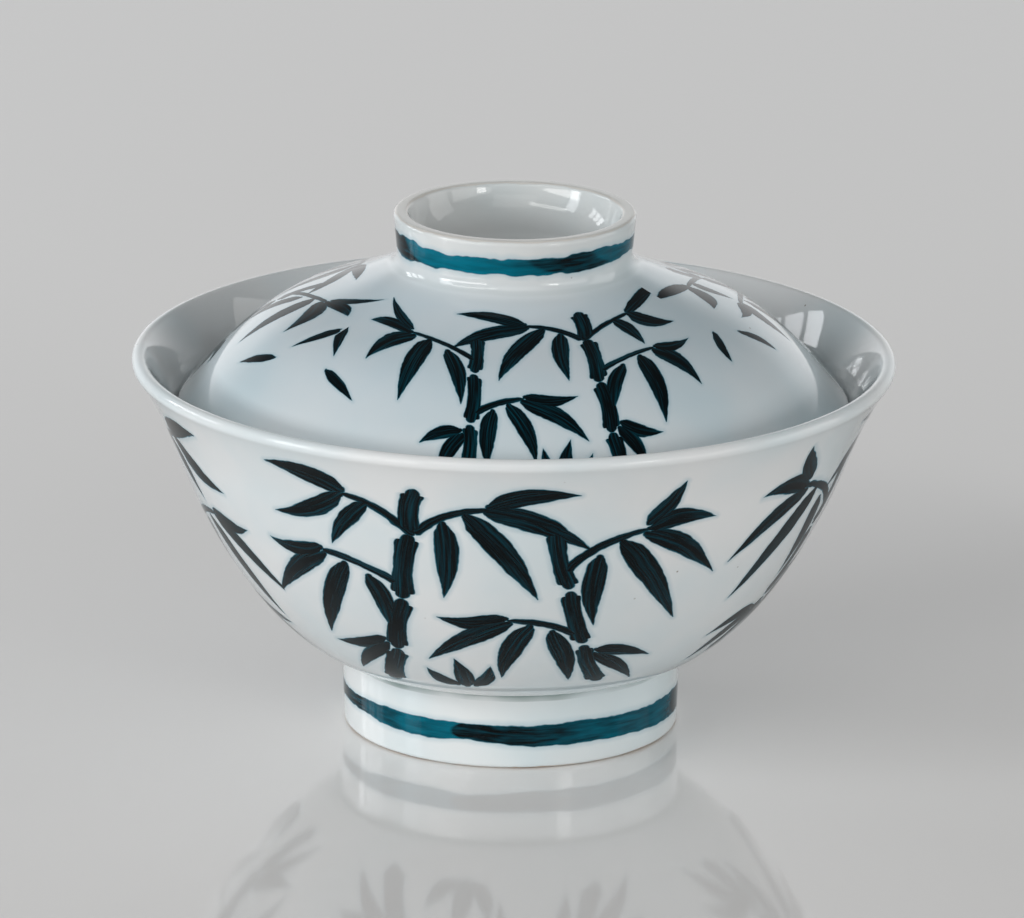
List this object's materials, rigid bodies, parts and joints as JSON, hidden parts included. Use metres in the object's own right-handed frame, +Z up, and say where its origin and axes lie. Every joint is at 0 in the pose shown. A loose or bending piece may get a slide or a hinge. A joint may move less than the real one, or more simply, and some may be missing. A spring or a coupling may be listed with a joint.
{
  "type": "lidded donburi bowl",
  "caption": "Round porcelain donburi bowl on a foot ring, with a turned-out lip, closed by a loose domed lid that seats inside the mouth and lifts by its ring knob.",
  "frame": {"origin": "centre of the foot ring's resting face, on the table", "axes": "+Z up along the common axis of bowl and lid; -Y is the side that the picture shows"},
  "size_m": [0.152, 0.152, 0.1054],
  "materials": {
    "bowl_glaze": "glossy pale glaze",
    "lid_glaze": "glossy pale bluish glaze"
  },
  "bodies": {
    "bowl": {"bowl": "bowl_glaze"},
    "lid": {"lid": "lid_glaze"}
  },
  "joints": [
    {"name": "lid_lift", "type": "slide", "parent": "bowl", "child": "lid", "axis": [0, 0, 1], "range_m": [0, 0.08]}
  ]
}
